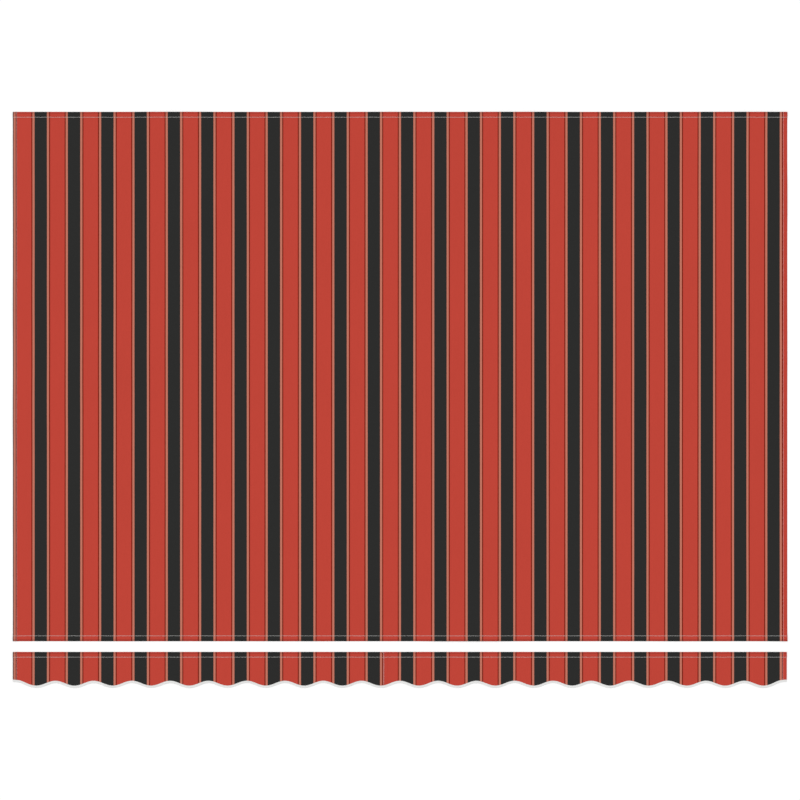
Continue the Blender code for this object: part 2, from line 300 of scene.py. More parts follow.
@dataclass(frozen=True)
class Swells:
    """The slow swells of cloth that lies loosely on a flat floor.

    Plane waves of seeded lengths, headings and phases are added up, and only what rises over the
    floor is kept, with a soft start.
    """

    height: float
    shortest: float
    longest: float
    seed: int
    waves: int = 9
    steepness: float = 1.6
    calm: float = 0.9

    def at(self, x: np.ndarray, y: np.ndarray) -> np.ndarray:
        """How high the cloth rises.

        Args:
            x: Places across.
            y: Places along.

        Returns:
            Heights from 0 up to the swells' height.
        """
        draw = np.random.default_rng(self.seed)
        lengths = draw.uniform(self.shortest, self.longest, self.waves)
        headings = draw.uniform(0, math.pi, self.waves)
        phases = draw.uniform(0, math.tau, self.waves)
        total = np.zeros(np.broadcast(x, y).shape)
        for length, heading, phase in zip(lengths, headings, phases):
            run = x * math.cos(heading) + y * math.sin(heading)
            total += np.sin(math.tau * run / length + phase)
        return self.height * (1 + np.tanh(total / math.sqrt(self.waves) * self.steepness - self.calm)) / 2


@dataclass(frozen=True)
class Hemline:
    """One folded edge and its row of stitches."""

    edge: float
    side: Side
    stitches: float

    @property
    def fold(self) -> float:
        """Where the middle of the cloth's thickness turns."""
        return self.edge - self.side.value * LAYERS.thickness / 2

    @property
    def inset(self) -> float:
        """How far in from the edge the stitches run."""
        return abs(self.edge - self.stitches)

    @property
    def width(self) -> float:
        """How far the turned margin reaches in from the edge."""
        return self.inset + HEMS.raw_margin

    def inward(self, place: np.ndarray) -> np.ndarray:
        """How far inside the edge a place lies."""
        return self.side.value * (self.edge - place)

    def bulge(self, place: np.ndarray, height: float) -> np.ndarray:
        """How far the tunnel stands open: a blunt sine arch of that height from edge to stitches."""
        share = np.clip(self.inward(place) / self.inset, 0.0, 1.0)
        return height * np.sin(math.pi * share) ** HEMS.bulge_fullness

    def stops(self) -> list[float]:
        """The cut positions that the fold and the ramp beside it need.

        Returns:
            The positions, in no order.
        """
        inner = self.edge - self.side.value * self.width
        down = ramp_stops(inner, inner - self.side.value * HEMS.ramp)
        return [*turned_stops(self.fold, self.side, self.width), self.stitches, *down]


@dataclass(frozen=True)
class Cut:
    """What a cloth is cut to, before it is folded and laid."""

    width: float
    length: float
    area: float

    @classmethod
    def of(cls, across: np.ndarray, along: np.ndarray) -> "Cut":
        """The cut that a grid of cut positions covers.

        Args:
            across: Positions across, rows by columns.
            along: Positions along, rows by columns.

        Returns:
            Its width, its length, and its area by the trapezium rule over the columns.
        """
        lengths = along[-1] - along[0]
        strips = (lengths[1:] + lengths[:-1]) / 2 * np.diff(across[0])
        return cls(float(np.ptp(across)), float(np.ptp(along)), float(strips.sum()))


def directions(points: np.ndarray, axis: int) -> np.ndarray:
    """Directions along one way of a grid, halfway between the steps before and after a point.

    Args:
        points: The grid's points, rows by columns by 3.
        axis: 0 along the rows' order, 1 along the columns'.

    Returns:
        A unit vector for each point.
    """
    steps = unit(np.diff(points, axis=axis))
    first = np.take(steps, [0], axis=axis)
    last = np.take(steps, [-1], axis=axis)
    return unit(np.concatenate([first, steps], axis) + np.concatenate([steps, last], axis))


def add_mesh(name: str, points: np.ndarray, faces: np.ndarray, cuts: np.ndarray) -> bpy.types.Object:
    """Makes an object of faces that all have the same number of corners.

    Args:
        name: The object's name.
        points: Its points, n by 3.
        faces: Its faces, as rows of point numbers.
        cuts: The cut position of each point, n by 2, which becomes its UV map, in metres.

    Returns:
        The object, in the scene.
    """
    mesh = bpy.data.meshes.new(name)
    corners = faces.reshape(-1)
    starts = np.arange(0, len(corners), faces.shape[1], dtype=np.int32)
    mesh.vertices.add(len(points))
    mesh.vertices.foreach_set("co", points.reshape(-1).astype(np.float32))
    mesh.loops.add(len(corners))
    mesh.loops.foreach_set("vertex_index", corners.astype(np.int32))
    mesh.polygons.add(len(faces))
    mesh.polygons.foreach_set("loop_start", starts)
    mesh.update(calc_edges=True)
    layer = mesh.uv_layers.new(name="cut")
    layer.data.foreach_set("uv", cuts[corners].reshape(-1).astype(np.float32))
    mesh.shade_smooth()
    piece = bpy.data.objects.new(name, mesh)
    bpy.context.scene.collection.objects.link(piece)
    return piece


def add_sheet(name: str, middle: np.ndarray, cuts: np.ndarray) -> bpy.types.Object:
    """Makes a closed sheet from the grid of points in the middle of its thickness.

    Each point is moved half the thickness out along the grid's normal and half in, and the two
    skins are joined round the border.

    Args:
        name: The object's name.
        middle: The grid, rows by columns by 3, with columns along X and rows along Y.
        cuts: The cut positions, rows by columns by 2.

    Returns:
        The object, smooth apart from its raw edges.
    """
    normals = unit(np.cross(directions(middle, 1), directions(middle, 0)))
    upper = (middle + normals * LAYERS.thickness / 2).reshape(-1, 3)
    lower = (middle - normals * LAYERS.thickness / 2).reshape(-1, 3)
    number = np.arange(len(upper)).reshape(middle.shape[:2])
    corners = [number[:-1, :-1], number[:-1, 1:], number[1:, 1:], number[1:, :-1]]
    top = np.stack(corners, axis=-1).reshape(-1, 4)
    border = np.concatenate([number[0, :-1], number[:-1, -1], number[-1, :0:-1], number[:0:-1, 0]])
    after = np.roll(border, -1)
    rim = np.stack([border + len(upper), after + len(upper), after, border], axis=-1)
    faces = np.concatenate([top, top[:, ::-1] + len(upper), rim])
    flat = cuts.reshape(-1, 2)
    piece = add_mesh(name, np.concatenate([upper, lower]), faces, np.concatenate([flat, flat]))
    piece.data.set_sharp_from_angle(angle=SHARP_ANGLE)
    return piece


class Signal:
    """A number that varies over a surface, with Python's arithmetic on it."""

    def __init__(self, graph: "Graph", socket: bpy.types.NodeSocket) -> None:
        """Wraps an output socket of a graph."""
        self.graph = graph
        self.socket = socket

    def maths(self, operation: str, *values: "Signal | float") -> "Signal":
        """The output of a new Math node with that operation on the values in order."""
        node = self.graph.add("ShaderNodeMath", {"operation": operation}, dict(enumerate(values)))
        return Signal(self.graph, node.outputs[0])

    def __add__(self, other: "Signal | float") -> "Signal":
        """The sum."""
        return self.maths("ADD", self, other)

    def __sub__(self, other: "Signal | float") -> "Signal":
        """The difference."""
        return self.maths("SUBTRACT", self, other)

    def __rsub__(self, other: float) -> "Signal":
        """A number less this signal."""
        return self.maths("SUBTRACT", other, self)

    def __mul__(self, other: "Signal | float") -> "Signal":
        """The product."""
        return self.maths("MULTIPLY", self, other)

    def __truediv__(self, other: "Signal | float") -> "Signal":
        """The quotient."""
        return self.maths("DIVIDE", self, other)

    def __pow__(self, other: float) -> "Signal":
        """The power."""
        return self.maths("POWER", self, other)

    def __lt__(self, other: "Signal | float") -> "Signal":
        """1 where this signal is the smaller one."""
        return self.maths("LESS_THAN", self, other)

    def __abs__(self) -> "Signal":
        """The size without the sign."""
        return self.maths("ABSOLUTE", self)

    def floor(self) -> "Signal":
        """The whole number below."""
        return self.maths("FLOOR", self)

    def least(self, other: "Signal | float") -> "Signal":
        """The smaller of two."""
        return self.maths("MINIMUM", self, other)

    def most(self, other: "Signal | float") -> "Signal":
        """The larger of two."""
        return self.maths("MAXIMUM", self, other)

    def wave(self, pitch: float) -> "Signal":
        """A sine that crosses 0 at every pitch."""
        return self.maths("SINE", self * (math.pi / pitch))

    def pingpong(self, reach: float) -> "Signal":
        """The distance to the nearest whole number of twice the reach."""
        return self.maths("PINGPONG", self, reach)

    def hollow(self, width: float) -> "Signal":
        """A bell that is 1 where the signal is 0 and near 0 past twice the width."""
        scaled = self / width
        return self.maths("EXPONENT", scaled * scaled * -1.0)


class Graph:
    """A node tree, and the ways in which nodes are added to it."""

    def __init__(self, tree: bpy.types.NodeTree) -> None:
        """Takes over a tree that is there."""
        self.tree = tree

    def add(self, kind: str, settings: dict | None = None, sockets: dict | None = None) -> bpy.types.Node:
        """Adds a node.

        Args:
            kind: The node's type.
            settings: Its properties, which are set first.
            sockets: What its inputs take, by name or number: a signal, a socket or a value.

        Returns:
            The node.
        """
        node = self.tree.nodes.new(kind)
        for key, value in (settings or {}).items():
            setattr(node, key, value)
        self.feed(node, sockets or {})
        return node

    def feed(self, node: bpy.types.Node, sockets: dict) -> None:
        """Links what varies to a node's inputs, and sets what doesn't.

        Args:
            node: The node.
            sockets: A signal, a socket or a value for each input, by its name or number.
        """
        for key, value in sockets.items():
            source = value.socket if isinstance(value, Signal) else value
            if isinstance(source, bpy.types.NodeSocket):
                self.tree.links.new(source, node.inputs[key])
            else:
                node.inputs[key].default_value = source

    def background_rays(self) -> Signal:
        """Tells the rays that see a background from those that only bring light.

        Returns:
            1 for the camera's rays and for those in gloss and glass, and else 0.
        """
        path = self.add("ShaderNodeLightPath")
        names = ("Is Camera Ray", "Is Glossy Ray", "Is Transmission Ray")
        camera, gloss, glass = (Signal(self, path.outputs[name]) for name in names)
        return camera.most(gloss).most(glass)


@dataclass(frozen=True)
class Grain:
    """Smooth noise: its grains in one unit of each coordinate, and how many octaves are added."""

    first: float
    second: float
    octaves: float


@dataclass(frozen=True)
class Relief:
    """How high a bump of 1 stands, in metres, and how much of it counts."""

    height: float
    strength: float


class Finish(Graph):
    """The nodes of one material, round its Principled BSDF."""

    def __init__(self, name: str) -> None:
        """Starts a material.

        Args:
            name: Its name.
        """
        self.material = bpy.data.materials.new(name)
        self.material.use_nodes = True
        super().__init__(self.material.node_tree)

    def surface(self, sockets: dict) -> bpy.types.Material:
        """Feeds the shader's own sockets, and gives the finished material."""
        self.feed(self.tree.nodes["Principled BSDF"], sockets)
        return self.material

    def cut(self) -> tuple[Signal, Signal]:
        """Reads the piece's own UV map.

        Returns:
            The two coordinates of the flat-cut pattern, in metres.
        """
        place = self.add("ShaderNodeUVMap", {"uv_map": "cut"}).outputs[0]
        split = self.add("ShaderNodeSeparateXYZ", None, {0: place})
        return Signal(self, split.outputs[0]), Signal(self, split.outputs[1])

    def noise(self, first: Signal, second: Signal, grain: Grain) -> Signal:
        """Smooth noise over two coordinates.

        Args:
            first: The first coordinate.
            second: The second.
            grain: How fine the noise is.

        Returns:
            The noise, from 0 to 1.
        """
        place = self.add("ShaderNodeCombineXYZ", None, {0: first * grain.first, 1: second * grain.second})
        sockets = {"Vector": place.outputs[0], "Scale": 1.0, "Detail": grain.octaves}
        return Signal(self, self.add("ShaderNodeTexNoise", {"noise_dimensions": "2D"}, sockets).outputs[0])

    def mix(self, share: Signal, base: object, top: object) -> bpy.types.NodeSocket:
        """The base colour where the share is 0, and the top one where it is 1."""
        return self.add("ShaderNodeMix", {"data_type": "RGBA"}, {0: share, 6: base, 7: top}).outputs[2]

    def shade(self, colour: object, strength: Signal) -> bpy.types.NodeSocket:
        """A colour made lighter or darker by a signal round 1."""
        sockets = {"Vector": colour, "Scale": strength}
        return self.add("ShaderNodeVectorMath", {"operation": "SCALE"}, sockets).outputs[0]

    def bump(self, height: Signal, relief: Relief) -> bpy.types.NodeSocket:
        """A normal from a height signal of 0 to about 1."""
        sockets = {"Height": height, "Distance": relief.height, "Strength": relief.strength}
        return self.add("ShaderNodeBump", None, sockets).outputs[0]


def rgb(red: float, green: float, blue: float) -> Colour:
    """A colour in linear light, by the sRGB curve.

    Args:
        red: Its red on a screen, from 0 to 255.
        green: Its green.
        blue: Its blue.

    Returns:
        The colour, with an alpha of 1.
    """
    shares = [value / 255 for value in (red, green, blue)]
    linear = [s / 12.92 if s <= 0.04045 else ((s + 0.055) / 1.055) ** 2.4 for s in shares]
    return (*linear, 1.0)


@dataclass(frozen=True)
class Lines:
    """Straight lines on a cloth's cut pattern: where those across and those along it lie."""

    across: Sequence[float]
    along: Sequence[float]

    def from_across(self, place: Signal) -> Signal:
        """How far a place along the cloth is from the nearest line that runs across."""
        return self.nearest(place, self.across)

    def from_along(self, place: Signal) -> Signal:
        """How far a place across the cloth is from the nearest line that runs along."""
        return self.nearest(place, self.along)

    @staticmethod
    def nearest(place: Signal, lines: Sequence[float]) -> Signal:
        """The distance to the nearest line.

        Args:
            place: Where the surface's point lies.
            lines: Where the lines lie.

        Returns:
            The distance, in metres.
        """
        closest = abs(place - lines[0])
        for line in lines[1:]:
            closest = closest.least(abs(place - line))
        return closest


@dataclass(frozen=True)
class StripedCloth:
    """Awning cloth: striped by its warp yarns, plainly woven, lightly coated and matt.

    Tones are shares by which a detail lightens or darkens the colour. Reliefs are shares of the
    bump's height. The slubs' first coordinate is a yarn's number.
    """

    red: Colour = rgb(188, 65, 52)
    black: Colour = rgb(38, 38, 37)
    tan: Colour = rgb(190, 113, 94)
    brown: Colour = rgb(117, 24, 6)
    warp: float = 0.00045
    weft: float = 0.00060
    warp_height: float = 0.60
    warp_crown: float = 0.40
    weft_height: float = 0.50
    weft_crown: float = 0.45
    mean_height: float = 0.46
    slubs: Grain = Grain(3.7, 14.0, 1.0)
    clouds: Grain = Grain(2.3, 1.7, 3.0)
    fuzz: Grain = Grain(900.0, 700.0, 1.0)
    slub_tone: float = 0.16
    cloud_tone: float = 0.05
    # Painted shade and highlight: the weave's height darkens the hollows between yarns and lightens their
    # crowns, more on the black.
    weave_painted_shading: float = 0.30
    black_weave_painted_shading: float = 0.65
    # Painted shade: a soft dark line a little inside each folded edge, and a faint one along each row of
    # stitches.
    crease_shade_inset: float = 0.0070
    crease_shade_width: float = 0.0040
    end_crease_shade: float = 0.32
    side_crease_shade: float = 0.10
    seam_shade_width: float = 0.0045
    seam_shade: float = 0.04
    pucker_width: float = 0.0011
    pucker_relief: float = 2.2
    weave_relief: float = 0.55
    fuzz_relief: float = 0.20
    relief: Relief = Relief(0.00020, 0.8)
    roughness: float = 0.80
    cloud_roughness: float = 0.06
    fuzz_roughness: float = 0.10
    gloss: float = 0.10
    sheen: float = 0.02
    sheen_roughness: float = 0.6

    def weave(self, across: Signal, along: Signal) -> Signal:
        """The height of a plain weave.

        Each yarn is a ridge, the size of a sine, and it is high where its crossing's number is
        even for the warp and odd for the weft.

        Args:
            across: Cut position across the cloth.
            along: Cut position along it.

        Returns:
            Heights from 0 between the yarns to 1 on top of a crossing.
        """
        warps = across.wave(self.warp)
        wefts = along.wave(self.weft)
        over = warps * wefts
        warp_ridge = abs(warps) * (over * self.warp_crown + self.warp_height)
        return warp_ridge.most(abs(wefts) * (over * -self.weft_crown + self.weft_height))

    def painted_crease_shade(self, from_fold: Signal) -> Signal:
        """Painted shade: a soft dark line inside a folded edge, from the distance to the fold."""
        return (from_fold - self.crease_shade_inset).hollow(self.crease_shade_width)

    def make(self, name: str, seams: Lines, folds: Lines) -> bpy.types.Material:
        """Builds the material for one cloth.

        Args:
            name: The material's name.
            seams: The cloth's rows of stitches.
            folds: Its folded edges.

        Returns:
            The material.
        """
        finish = Finish(name)
        across, along = finish.cut()
        yarn = (across / self.warp).floor()
        first_band = float(box_of("cover_cloth")[0][0]) + STRIPES.first_centre
        from_black = (yarn * self.warp - first_band).pingpong(STRIPES.repeat / 2)
        reach = STRIPES.black / 2
        trims = finish.mix(from_black < reach + STRIPES.tan + STRIPES.brown, self.red, self.brown)
        trims = finish.mix(from_black < reach + STRIPES.tan, trims, self.tan)
        is_black = from_black < reach
        colour = finish.mix(is_black, trims, self.black)

        weave = self.weave(across, along)
        slubs = finish.noise(yarn, along, self.slubs)
        clouds = finish.noise(across, along, self.clouds)
        fuzz = finish.noise(across, along, self.fuzz)
        from_seam = seams.from_across(along).least(seams.from_along(across))
        # Painted shade darkens the colour along the rows of stitches and in a soft line inside each fold.
        darkening_with_painted_shade = from_seam.hollow(self.seam_shade_width) * self.seam_shade
        darkening_with_painted_shade = darkening_with_painted_shade + self.painted_crease_shade(folds.from_across(along)) * self.end_crease_shade
        darkening_with_painted_shade = darkening_with_painted_shade + self.painted_crease_shade(folds.from_along(across)) * self.side_crease_shade
        # The weave's painted shading: darker hollows and lighter crowns, with more contrast on the black.
        depth = is_black * (self.black_weave_painted_shading - self.weave_painted_shading) + self.weave_painted_shading
        tone = (slubs - 0.5) * self.slub_tone + (clouds - 0.5) * self.cloud_tone
        tone = tone + (weave - self.mean_height) * depth + 1.0 - darkening_with_painted_shade
        rough = (fuzz - 0.5) * self.fuzz_roughness + clouds * self.cloud_roughness + self.roughness
        height = weave * self.weave_relief + fuzz * self.fuzz_relief
        height = height - from_seam.hollow(self.pucker_width) * self.pucker_relief
        return finish.surface({
            "Base Color": finish.shade(colour, tone),
            "Roughness": rough,
            "Normal": finish.bump(height, self.relief),
            "Specular IOR Level": self.gloss,
            "Sheen Weight": self.sheen,
            "Sheen Roughness": self.sheen_roughness,
        })


@dataclass(frozen=True)
class PaleTape:
    """Binding tape: pale grey-white, woven in fine ribs across, with a firm edge each side.

    Tones are shares of the shade colour, and reliefs are shares of the bump's height.
    """

    pale: Colour = rgb(235, 235, 234)
    shade: Colour = rgb(214, 214, 213)
    rib: float = 0.0011
    strand: float = 0.0007
    firm_edge: float = 0.0009
    grain: Grain = Grain(420.0, 900.0, 2.0)
    clouds: Grain = Grain(9.0, 60.0, 2.0)
    cloud_tone: float = 0.7
    grain_tone: float = 0.3
    # Painted shade between the ribs: their crowns are kept paler.
    rib_painted_shade: float = 0.25
    shade_share: float = 0.8
    roughness: float = 0.64
    grain_roughness: float = 0.16
    rib_relief: float = 0.6
    strand_relief: float = 0.25
    edge_relief: float = 0.9
    grain_relief: float = 0.2
    relief: Relief = Relief(0.00022, 0.8)
    gloss: float = 0.25
    sheen: float = 0.05

    def make(self, width: float) -> bpy.types.Material:
        """Builds the material for a tape of that width, edge to edge.

        Args:
            width: The tape's own width.

        Returns:
            The material.
        """
        finish = Finish("pale_tape")
        along, across = finish.cut()
        ribs = abs(along.wave(self.rib))
        strands = abs(across.wave(self.strand))
        edges = across.least(width - across).hollow(self.firm_edge)
        grain = finish.noise(along, across, self.grain)
        clouds = finish.noise(along, across, self.clouds)
        # The darker shade colour: random clouds and grain, the tape's own mottle, plus painted shade in
        # the hollows between the ribs.
        darkening_with_painted_shade = (clouds * self.cloud_tone + grain * self.grain_tone - ribs * self.rib_painted_shade).most(0.0)
        height = ribs * self.rib_relief + strands * self.strand_relief
        height = height + edges * self.edge_relief + grain * self.grain_relief
        return finish.surface({
            "Base Color": finish.mix(darkening_with_painted_shade * self.shade_share, self.pale, self.shade),
            "Roughness": grain * self.grain_roughness + self.roughness,
            "Normal": finish.bump(height, self.relief),
            "Specular IOR Level": self.gloss,
            "Sheen Weight": self.sheen,
        })


@dataclass(frozen=True)
class WhiteThread:
    """Sewing thread: white, twisted from plies that wind round each stitch."""

    white: Colour = rgb(240, 240, 238)
    # Painted shade: the grooves between the twisted plies take this darker colour.
    painted_crease_shade: Colour = rgb(196, 195, 192)
    ply: float = 0.0009
    crease_shade_sharpness: float = 3.0
    grain: Grain = Grain(2500.0, 6.0, 1.0)
    grain_relief: float = 0.2
    relief: Relief = Relief(0.00008, 0.7)
    roughness: float = 0.42
    grain_roughness: float = 0.18
    gloss: float = 0.4

    def make(self) -> bpy.types.Material:
        """Builds the material, from the length along the row and the turn round the thread.

        Returns:
            The material.
        """
        finish = Finish("white_thread")
        along, around = finish.cut()
        twist = abs((along / self.ply + around).wave(1.0))
        grain = finish.noise(along, around, self.grain)
        return finish.surface({
            # Painted shade in the grooves between the plies.
            "Base Color": finish.mix((1 - twist) ** self.crease_shade_sharpness, self.white, self.painted_crease_shade),
            "Roughness": grain * self.grain_roughness + self.roughness,
            "Normal": finish.bump(twist + grain * self.grain_relief, self.relief),
            "Specular IOR Level": self.gloss,
        })


@dataclass(frozen=True)
class Bead:
    """How finely a stitch is modelled.

    Each ring is a section across the stitch: its place from -1 to 1, and its size from 0 to 1.
    """

    sides: int
    rings: tuple[tuple[float, float], ...]


TOP_BEAD = Bead(6, ((-1.0, 0.5), (-0.78, 0.88), (0.0, 1.0), (0.78, 0.88), (1.0, 0.5)))
LOWER_BEAD = Bead(4, ((-1.0, 0.5), (0.0, 1.0), (1.0, 0.5)))


@dataclass(frozen=True)
class Thread:
    """A lockstitch: its pitch, the length that shows between two needle holes, and its section."""

    pitch: float = 0.0042
    shown: float = 0.0041
    width: float = 0.00125
    height: float = 0.0006
    sink: float = 0.00032
    lower_lift: float = 0.00036

    def beads(
        self, path: np.ndarray, run: np.ndarray, side: Side, bead: Bead
    ) -> tuple[np.ndarray, np.ndarray, np.ndarray]:
        """A bead for each stitch of a row.

        Along a bead its section, a flattened ring, swells from the needle hole to the middle and
        shrinks again, and its middle arches out of the cloth.

        Args:
            path: Where the stitches' middles are, n by 3.
            run: Directions along the row, n by 3.
            side: HIGH for stitches on top of the cloth, LOW for those under it.
            bead: How finely each is modelled.

        Returns:
            The points, the four-cornered faces, and the points' cut positions.
        """
        up = side.value
        place, size = np.array(bead.rings).T
        turn = np.arange(bead.sides) / bead.sides
        angle = turn * math.tau * up
        sideways = np.cross(UP, run)
        lengthways = place * self.shown / 2
        arch = up * (self.height / 2 - self.sink * place**2)
        local_side = np.outer(size, np.cos(angle)) * self.width / 2
        local_up = np.outer(size, np.sin(angle)) * self.height / 2 + arch[:, None]
        points = (
            path[:, None, None, :]
            + run[:, None, None, :] * lengthways[None, :, None, None]
            + sideways[:, None, None, :] * local_side[None, :, :, None]
            + UP * local_up[None, :, :, None]
        )
        number = np.arange(local_up.size).reshape(local_up.shape)
        after = np.roll(number, -1, axis=1)
        tube = np.stack([number[:-1], after[:-1], after[1:], number[1:]], axis=-1).reshape(-1, 4)
        faces = np.concatenate([tube[:, ::up], *self.caps(number, up)])
        first = np.arange(len(path))[:, None, None]
        along = first * self.pitch + lengthways[None, :, None]
        cuts = np.stack(np.broadcast_arrays(along, turn[None, None, :]), axis=-1)
        return points.reshape(-1, 3), (first * number.size + faces).reshape(-1, 4), cuts.reshape(-1, 2)

    @staticmethod
    def caps(number: np.ndarray, up: int) -> list[np.ndarray]:
        """The faces that close a bead's two ends, each a strip of four-cornered faces.

        Args:
            number: The bead's point numbers, rings by sides.
            up: 1 for a bead on top of the cloth, -1 for one under it.

        Returns:
            The faces of each end.
        """
        step = np.arange(number.shape[1] // 2 - 1)
        corners = np.stack([step, step + 1, -2 - step, -1 - step], axis=-1)
        return [number[0][corners][:, ::-up], number[-1][corners][:, ::up]]


HEM_THREAD = Thread()
SIDE_THREAD = Thread(width=0.0008)


@dataclass(frozen=True)
class StitchRow:
    """One row of lockstitches: thread on top of the cloth, and the bobbin's thread under it."""

    name: str
    line: np.ndarray
    upper: Surface
    lower: Surface
    thread: Thread

    def build(self, material: bpy.types.Material) -> bpy.types.Object:
        """Lays the stitches at even steps along the row's line.

        Args:
            material: The thread's finish.

        Returns:
            The row.
        """
        steps = np.linalg.norm(np.diff(self.line, axis=0), axis=1)
        length = np.concatenate([[0.0], np.cumsum(steps)])
        count = int(length[-1] / self.thread.pitch)
        middles = (np.arange(count) + 0.5) * length[-1] / count
        lift = UP * self.thread.lower_lift
        top = self.thread.beads(*self.course(self.upper, length, middles), Side.HIGH, TOP_BEAD)
        path, run = self.course(self.lower, length, middles)
        under = self.thread.beads(path + lift, run, Side.LOW, LOWER_BEAD)
        points, faces, cuts = zip(top, under)
        faces = [faces[0], faces[1] + len(points[0])]
        row = add_mesh(f"{self.name}_stitches", *(np.concatenate(part) for part in (points, faces, cuts)))
        dress(row, material, Slot.THREAD, f"{self.name}_thread")
        return row

    def course(
        self, surface: Surface, length: np.ndarray, middles: np.ndarray
    ) -> tuple[np.ndarray, np.ndarray]:
        """Where the stitches lie on a surface, and which way they run.

        Args:
            surface: The surface.
            length: The length along the line at each of its points.
            middles: The length along the line at each stitch's middle.

        Returns:
            The stitches' middles, and directions from half a pitch before them to half a pitch on.
        """
        before, at, after = (self.points(surface, length, middles + step) for step in self.reach)
        return at, unit(after - before)

    @property
    def reach(self) -> tuple[float, float, float]:
        """From a stitch's middle, the steps to its start, to its middle and to its end."""
        return -self.thread.pitch / 2, 0.0, self.thread.pitch / 2

    def points(self, surface: Surface, length: np.ndarray, at: np.ndarray) -> np.ndarray:
        """The points of the line at some lengths along it, laid on a surface."""
        x, y = (np.interp(at, length, self.line[:, axis.value]) for axis in Axis)
        return np.stack([x, y, surface(x, y)], axis=-1)


def dress(piece: bpy.types.Object, material: bpy.types.Material, slot: Slot, node: str) -> None:
    """Gives a piece its finish and its body, and hides the CAD node that it stands for.

    Args:
        piece: The piece.
        material: Its finish.
        slot: Not used.
        node: The CAD node that it replaces.
    """
    piece.data.materials.append(material)
    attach(piece, "root")
    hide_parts(node)


@dataclass(frozen=True)
class FoldedCloth:
    """What the two cloths share: side hems, end hems over them, and the way they lie."""

    left: Hemline
    right: Hemline
    rear: Hemline
    swells: Swells

    @property
    def ends(self) -> tuple[Hemline, ...]:
        """The end hems, the rear one last."""
        return (self.rear,)

    def below(self, x: np.ndarray) -> np.ndarray:
        """How far the side hems raise the top layer."""
        inset = np.minimum(self.left.inward(x), self.right.inward(x))
        return LAYERS.pitch * (1 - ramp(inset, self.left.width, self.left.width + HEMS.ramp))

    def hemmed(self, y: np.ndarray) -> np.ndarray:
        """1 over an end hem, falling to 0 past its raw edge."""
        inset = np.min([line.inward(y) for line in self.ends], axis=0)
        return 1 - ramp(inset, self.rear.width, self.rear.width + HEMS.ramp)

    def height(self, x: np.ndarray, y: np.ndarray) -> np.ndarray:
        """Height of the top layer over the floor, with the tunnels shut."""
        raise NotImplementedError

    def bottom(self, x: np.ndarray, y: np.ndarray) -> np.ndarray:
        """Height of the lowest layer's underside."""
        raise NotImplementedError

    def bulge(self, x: np.ndarray, y: np.ndarray) -> np.ndarray:
        """How far the empty tunnels stand open.

        Args:
            x: Places across.
            y: Places along.

        Returns:
            Heights: the end tunnels', and the side tunnels' where no end hem closes them.
        """
        ends = sum(line.bulge(y, HEMS.end_bulge) for line in self.ends)
        sides = self.left.bulge(x, HEMS.side_bulge) + self.right.bulge(x, HEMS.side_bulge)
        return ends + sides * (1 - self.hemmed(y))

    def top(self, x: np.ndarray, y: np.ndarray) -> np.ndarray:
        """Height of the cloth's upper surface."""
        return LAYERS.thickness + self.height(x, y) + self.bulge(x, y) + self.swells.at(x, y)

    def turn_ends(
        self, flat_y: np.ndarray, depth: np.ndarray, stack: np.ndarray
    ) -> tuple[np.ndarray, np.ndarray, np.ndarray]:
        """Turns the end hems under, with arguments and results as turn_end has them."""
        return turn_end(flat_y, self.rear.fold, Side.HIGH, depth, stack)

    def lay(self, x: np.ndarray, depth: np.ndarray, upper: np.ndarray, flat_y: np.ndarray) -> np.ndarray:
        """Folds the end hems of points whose side folds are made, and lays them.

        Args:
            x: Places across.
            depth: Depths below the top layer.
            upper: 1 on a side hem's upper layer, falling to 0 on its lower one.
            flat_y: Cut positions along.

        Returns:
            The points in the middle of the cloth's thickness.
        """
        stack = LAYERS.pitch + 2 * self.below(x)
        y, depth, upper_run = self.turn_ends(flat_y, depth, stack)
        open_by = np.where(self.hemmed(y) > 0.5, upper_run, upper)
        shut = LAYERS.thickness / 2 + self.height(x, y) - depth
        z = shut + self.bulge(x, y) * open_by + self.swells.at(x, y)
        return np.stack([x, y, z], axis=-1)

    def row(self, name: str, axis: Axis, thread: Thread) -> StitchRow:
        """A straight row of stitches along an axis, where its CAD node lies.

        Args:
            name: The row's name, which the node's and the piece's start with.
            axis: The way it runs.
            thread: What it is sewn with.

        Returns:
            The row.
        """
        low, high = (corner[:2] for corner in box_of(f"{name}_thread"))
        line = np.array([low, high])
        line[:, 1 - axis.value] = (low + high)[1 - axis.value] / 2
        return StitchRow(name, line, self.top, self.bottom, thread)


